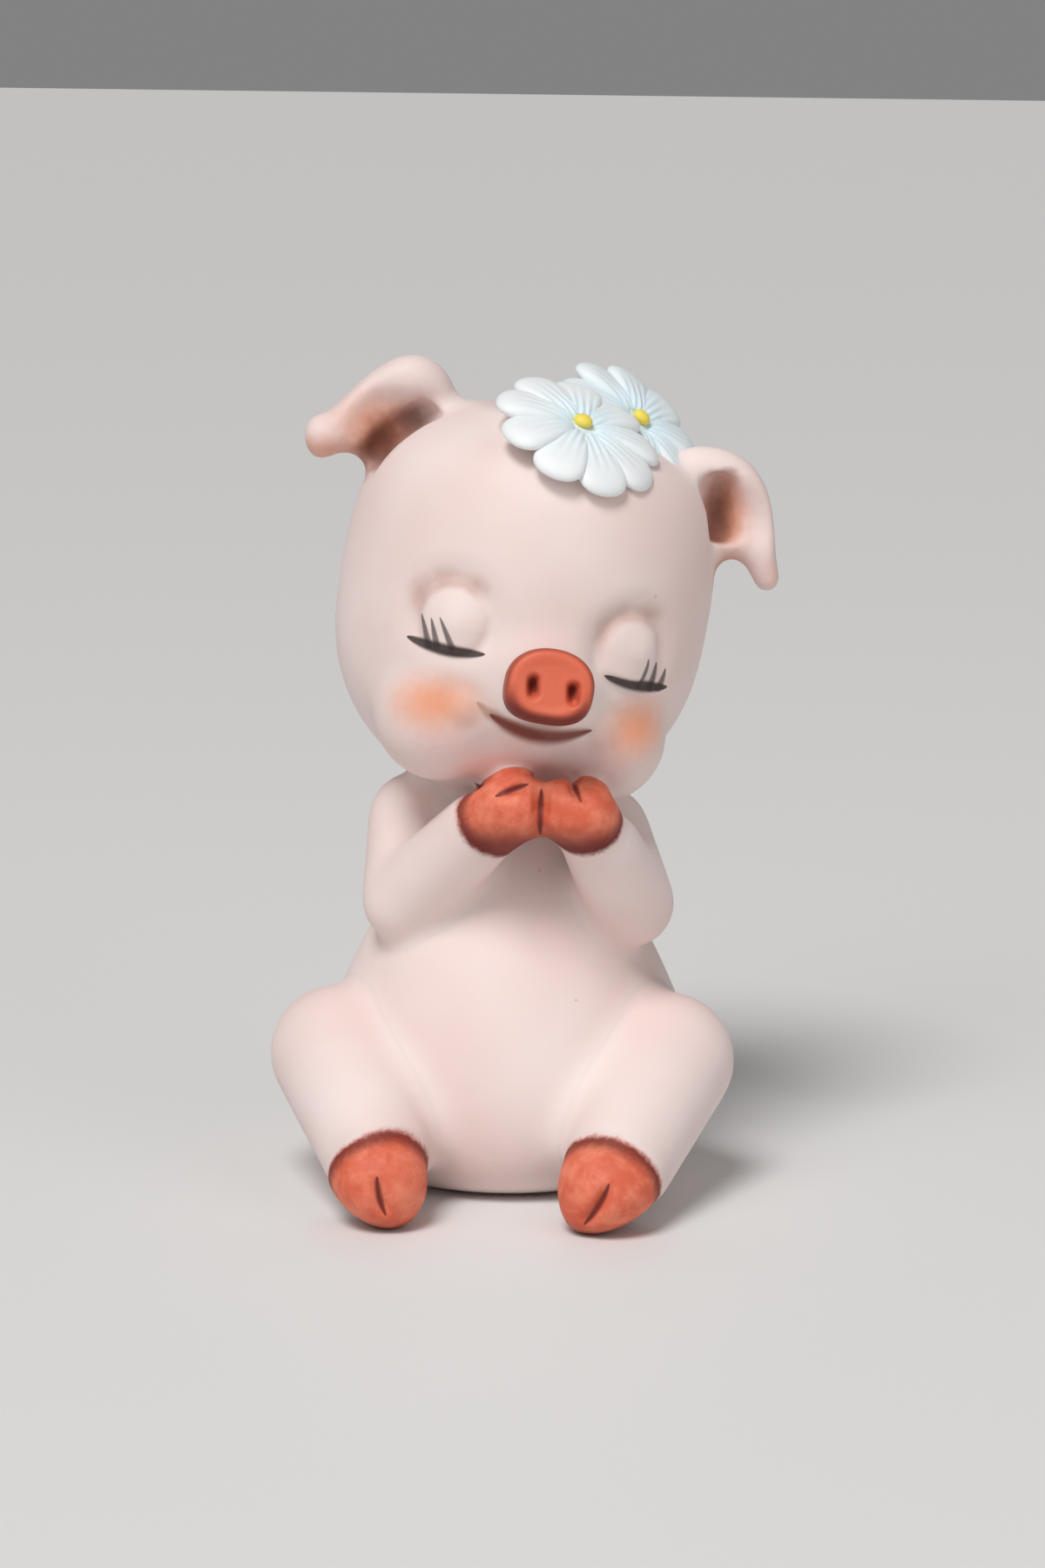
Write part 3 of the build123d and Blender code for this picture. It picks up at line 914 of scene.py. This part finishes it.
def stroke(tree, base, colour, line, width, lens=1.0, softness=0.3, strength=1.0):
    """Paints a stroke of colour over a base colour, along a line of a start, a middle and an end."""
    start, middle, end = line
    run = end - start
    share = (middle - start).dot(run) / run.dot(run)
    bow = (middle - start - run * share) / (4 * share * (1 - share))
    mask = use_group(
        tree,
        brush_stroke,
        Start=start,
        End=end,
        Bow=bow,
        Facing=(camera_place - middle).normalized(),
        Width=width * MM,
        Lens=lens,
        Softness=softness,
    ).outputs["Mask"]
    return washed(tree, base, colour, mask, strength)


def bare_bisque(tree, clay):
    """The bare clay's pale pink."""
    base = mixed(tree, fade(tree, clay.outputs["Cloud"], 0.30, 0.75), bisque_pink, bisque_light)
    return washed(tree, base, speck_tan_and_crease_shade, clay.outputs["Specks"], 0.35)


def make_pink_bisque():
    """Pale pink bisque."""
    material, tree, shader, clay = clay_material("pink_bisque", 0.62)
    tree.links.new(bare_bisque(tree, clay), shader.inputs["Base Color"])
    return material


def make_limb_bisque(limb, clefts):
    """A limb's pink, with coral brushed over its hoof: darker at the paint's edge, with painted shade in
    its clefts and the front hooves' seam, and towards its bottom.
    """
    material, tree, shader, clay = clay_material(f"{limb}_bisque", 0.58)
    edge, axis, (light_from, dark_from) = hoof_edges[limb]
    place = place_in(tree)
    drift = noise(tree, place, 330.0, 4.0, 0.65)
    height = add_node(tree, "ShaderNodeSeparateXYZ", {"Vector": place}).outputs["Z"]
    tone = mixed(tree, fade(tree, drift, 0.35, 0.70), coral, coral_light)
    # Painted shade: the coral darkens towards the hoof's bottom
    painted_under_shade = fade(tree, height, light_from * MM, dark_from * MM)
    tone = washed(tree, tone, coral_dark, painted_under_shade, 0.9)
    # Painted shade in the clefts and in the seam between the front hooves
    for cleft in clefts:
        tone = stroke(tree, tone, coral_dark, cleft, 0.34, softness=0.7, strength=0.95)
    dip = use_group(tree, dipped_end, Edge=Vector(edge) * MM, Axis=Vector(axis).normalized())
    tone = washed(tree, tone, coral_dark, dip.outputs["Rim"], 0.85)
    base = mixed(tree, dip.outputs["Cover"], bare_bisque(tree, clay), tone)
    tree.links.new(base, shader.inputs["Base Color"])
    return material


def ear_washes(tree, base, skin):
    """Orange washed into the ears' cups and along their lower edges, with painted shade in the cups'
    deepest hollows.
    """
    for colour, place, size, strength in (
        (ear_orange, (20.2, -5.0, 13.4), (4.4, 5.0, 9.0), 0.85),
        (ear_orange, (-19.4, 2.0, 16.2), (7.6, 6.0, 6.4), 0.85),
        (ear_orange, (20.8, -4.5, 7.6), (3.6, 4.0, 3.6), 0.75),
        (ear_orange, (27.0, -8.5, 8.0), (3.2, 4.0, 4.0), 0.5),
        (ear_orange, (-25.6, 2.5, 13.0), (5.0, 4.0, 2.8), 0.6),
        # Painted shade deep in the cups
        (ear_hollow_shade, (19.8, -3.6, 12.0), (2.6, 4.0, 7.6), 0.8),
        (ear_hollow_shade, (-18.6, 3.4, 14.6), (4.4, 4.0, 5.2), 0.9),
        (ear_hollow_shade, (-15.8, 3.0, 17.9), (3.4, 4.0, 3.6), 0.75),
    ):
        base = spot(tree, base, colour, *seen_on_head(skin, place), size, strength)
    return base


def make_painted_face(skin):
    """The head's pink bisque with its blush, lid lines, lashes and mouth, the ears' washes, painted
    highlights on the lids and painted shade in its hollows.
    """
    material, tree, shader, clay = clay_material("painted_face", 0.64)
    base = bare_bisque(tree, clay)
    for colour, place, size, strength in (
        # Painted shade under the snout
        (speck_tan_and_crease_shade, (0.4, -20.8, -10.6), (5.4, 4.0, 1.9), 0.5),
        (coral, (-9.5, -18.0, -14.2), (5.5, 5.0, 3.2), 0.16),
        (coral, (9.5, -18.0, -14.0), (5.0, 5.0, 4.0), 0.16),
        (blush_orange, (-11.3, -17.5, -10.3), (8.6, 7.0, 4.8), 0.8),
        (blush_orange, (11.8, -17.0, -9.9), (7.2, 7.0, 5.4), 0.8),
    ):
        base = spot(tree, base, colour, *seen_on_head(skin, place), size, strength, core=0.05)
    base = ear_washes(tree, base, skin)
    for side in ("right", "left"):
        # Painted shade in the creases above the eye
        for place, size in crease_shade_spots[side]:
            base = spot(tree, base, speck_tan_and_crease_shade, *seen_on_head(skin, place), size, 0.48, core=0.0)
        # A painted highlight on the lid's dome
        (lid,) = seen_on_head(skin, eye_places[side][0])
        base = spot(tree, base, lid_painted_highlight, lid, (4.3, 4.0, 4.1), 0.85, core=0.72)
    smile = seen_on_head(skin, *smile_places)
    mouth = seen_on_head(skin, *mouth_places)
    # Painted shade along the smile's groove, then the mouth's own red
    base = stroke(tree, base, speck_tan_and_crease_shade, smile, 0.7, softness=0.8, strength=0.6)
    base = stroke(tree, base, mouth_red, mouth, 0.85, softness=0.7, strength=0.92)
    for side in ("right", "left"):
        line = seen_on_head(skin, *eye_places[side][1])
        base = stroke(tree, base, lash_black, line, 0.68, softness=0.4, strength=0.95)
    for lash in (
        ((-12.9, -16.5, -4.2), (-13.5, -16.0, -2.6), (-14.1, -15.6, -1.0)),
        ((-12.1, -17.1, -4.0), (-12.6, -16.6, -2.6), (-13.1, -16.4, -1.2)),
        ((-10.5, -17.7, -4.0), (-11.6, -17.8, -2.2), (-12.3, -17.1, -0.9)),
        ((10.8, -17.8, -5.0), (11.6, -17.1, -3.4), (11.4, -18.2, -1.9)),
        ((12.4, -16.7, -5.3), (12.6, -16.9, -3.6), (12.7, -16.6, -2.3)),
        ((13.6, -15.7, -5.3), (14.0, -15.6, -3.9), (14.1, -15.5, -3.0)),
    ):
        lash = seen_on_head(skin, *lash)
        base = stroke(tree, base, lash_black, lash, 0.36, lens=0.0, softness=0.5, strength=0.8)
    tree.links.new(base, shader.inputs["Base Color"])
    return material


def make_painted_ear(skin):
    """The ears' pink bisque with orange washed into their cups and along their lower edges, and painted
    shade deep in the cups.
    """
    material, tree, shader, clay = clay_material("painted_ear", 0.62)
    base = ear_washes(tree, bare_bisque(tree, clay), skin)
    tree.links.new(base, shader.inputs["Base Color"])
    return material


def make_coral_bisque():
    """The snout's coral, with painted shade on its rim, widest below, and in its nostrils."""
    material, tree, shader, clay = clay_material("coral_bisque", 0.52)
    base = mixed(tree, fade(tree, clay.outputs["Cloud"], 0.30, 0.75), coral, coral_light)
    rim_painted_shade = add_node(tree, "ShaderNodeAttribute", attribute_name="rim_painted_shade").outputs["Fac"]
    # Painted shade along the rim, from the mark kept on the snout
    base = washed(tree, base, coral_dark, rim_painted_shade, 0.95)
    # Painted shade in the nostrils
    for side in (-2.5, 1.8):
        base = spot(tree, base, coral_dark, on_head(side, -25.4, -5.7), (1.1, 2.2, 1.6), 0.9)
    tree.links.new(base, shader.inputs["Base Color"])
    return material


def make_petal_bisque(name, centre, blueness):
    """A flower's white with its own blue tint, and blue painted shade around its sunken middle and in its
    grooves.
    """
    material, tree, shader, _ = clay_material(name, 0.5)
    groove = add_node(tree, "ShaderNodeAttribute", attribute_name="groove").outputs["Fac"]
    base = mixed(tree, blueness, petal_white, petal_blue)
    # Blue painted shade around the sunken middle, and in the grooves
    base = spot(tree, base, petal_blue, centre, (6.5, 6.5, 6.5), 0.35, core=0.0)
    base = washed(tree, base, petal_blue, groove, 0.30)
    tree.links.new(base, shader.inputs["Base Color"])
    return material


def make_yellow_bisque():
    """The buttons' yellow, unevenly dabbed."""
    material, tree, shader, clay = clay_material("yellow_bisque", 0.5)
    base = mixed(tree, fade(tree, clay.outputs["Cloud"], 0.3, 0.7), button_yellow, button_amber)
    tree.links.new(base, shader.inputs["Base Color"])
    return material


# Camera, floor and light

# The side that the sky's light comes from
sky_side = (-0.18, -0.52, 0.83)


def studio():
    """The photograph's camera, a pale floor, and soft lamps."""
    right = Vector((cos(camera_azimuth), sin(camera_azimuth), 0))
    up = camera_back.cross(right)
    level = Matrix((right, up, camera_back)).transposed()
    turn = level @ Matrix.Rotation(camera_roll, 3, "Z")
    lens = bpy.data.cameras.new("camera")
    lens.sensor_fit = "VERTICAL"
    lens.sensor_height = frame_height
    lens.lens = camera_lens
    lens.clip_start = 0.01
    camera = new_object("camera", lens)
    camera.matrix_world = Matrix.Translation(camera_place) @ turn.to_4x4()
    bpy.context.scene.camera = camera

    bpy.ops.object.select_all(action="DESELECT")
    bpy.ops.mesh.primitive_plane_add(size=6, location=(0, 0, 0))
    floor = bpy.context.object
    floor.name = "floor"
    matt = bpy.data.materials.new("floor")
    matt.use_nodes = True
    shader = matt.node_tree.nodes["Principled BSDF"]
    shader.inputs["Base Color"].default_value = floor_pale
    shader.inputs["Roughness"].default_value = 0.6
    floor.data.materials.append(matt)

    sky = bpy.data.lights.new("sky", "SUN")
    sky.angle = radians(22)
    sky.energy = 2.0
    light = new_object("sky", sky)
    light.matrix_world = Vector(sky_side).to_track_quat("Z", "Y").to_matrix().to_4x4()

    for name, place, size, power in (
        ("key", (-0.30, -0.48, 0.45), 0.30, 0.7),
        ("fill", (0.6, -0.5, 0.35), 0.6, 1.0),
    ):
        lamp = bpy.data.lights.new(name, "AREA")
        lamp.size = size
        lamp.energy = power
        light = new_object(name, lamp)
        aim = (Vector(place) - camera_target).to_track_quat("Z", "Y")
        light.matrix_world = Matrix.Translation(place) @ aim.to_matrix().to_4x4()

    world = bpy.data.worlds.new("world")
    world.use_nodes = True
    background = world.node_tree.nodes["Background"]
    background.inputs["Color"].default_value = (0.9, 0.9, 0.9, 1)
    background.inputs["Strength"].default_value = 0.25
    bpy.context.scene.world = world
    bpy.context.scene.view_settings.view_transform = "Standard"


# Making the figure

skin, moulds = model_skin()
shape_face(skin)
shape_hooves(skin)
remesh(skin)
relax(skin, 2)

pink_bisque = make_pink_bisque()
painted_face = make_painted_face(skin)
painted_ear = make_painted_ear(skin)
coral_bisque = make_coral_bisque()
yellow_bisque = make_yellow_bisque()
clefts = {
    name: seen(skin, *[Vector(place) * MM for place in places])
    for name, (places, _, _) in hoof_clefts.items()
}
limb_bisques = {
    "right_arm": make_limb_bisque("right_arm", [clefts["right_arm"], clefts["seam"]]),
    "left_arm": make_limb_bisque("left_arm", [clefts["left_arm"], clefts["seam"]]),
    "right_leg": make_limb_bisque("right_leg", [clefts["right_leg"]]),
    "left_leg": make_limb_bisque("left_leg", [clefts["left_leg"]]),
}

for node, material, slot in (
    ("fore_hoof_left", limb_bisques["left_arm"], "coral_bisque"),
    ("fore_hoof_right", limb_bisques["right_arm"], "coral_bisque"),
    ("hind_hoof_left", limb_bisques["left_leg"], "coral_bisque"),
    ("hind_hoof_right", limb_bisques["right_leg"], "coral_bisque"),
    ("ear_left", painted_ear, "pink_bisque"),
    ("ear_right", painted_ear, "pink_bisque"),
    ("arm_left", limb_bisques["left_arm"], "pink_bisque"),
    ("arm_right", limb_bisques["right_arm"], "pink_bisque"),
    ("leg_left", limb_bisques["left_leg"], "pink_bisque"),
    ("leg_right", limb_bisques["right_leg"], "pink_bisque"),
    ("head_shell", painted_face, "pink_bisque"),
):
    finish_piece(part_off(skin, node, moulds), material, slot, node)
skin.name = "torso_skin"
finish_piece(skin, pink_bisque, "pink_bisque", "torso_shell")
finish_piece(model_snout(), coral_bisque, "coral_bisque", "snout")
finish_piece(model_tail(), pink_bisque, "pink_bisque", "tail")

for name, shift, turn, tilt, length, curl, first, count, droop, swing, rising, blueness, slot in (
    ("front", (-0.5, 0, -0.3), 13, 20.5, 9.9, 0.9, -84, 9, 3, 11, 110, 0.03, "white_bisque"),
    ("back", (-1.8, 0, -1.1), 53, 36, 9.6, 0.9, -110, 7, 4, 13, 20, 0.14, "blue_tinted_bisque"),
):
    place = Matrix.Translation(Vector(shift) * MM) @ flower_frame(name, radians(turn), radians(tilt))
    petal_bisque = make_petal_bisque(f"{name}_petal_bisque", place.translation, blueness)
    for piece, node in model_flower(name, place, length, curl * MM, first, count, droop, swing, rising):
        if node.endswith("button"):
            finish_piece(piece, yellow_bisque, "yellow_bisque", node)
        else:
            finish_piece(piece, petal_bisque, slot, node)

studio()
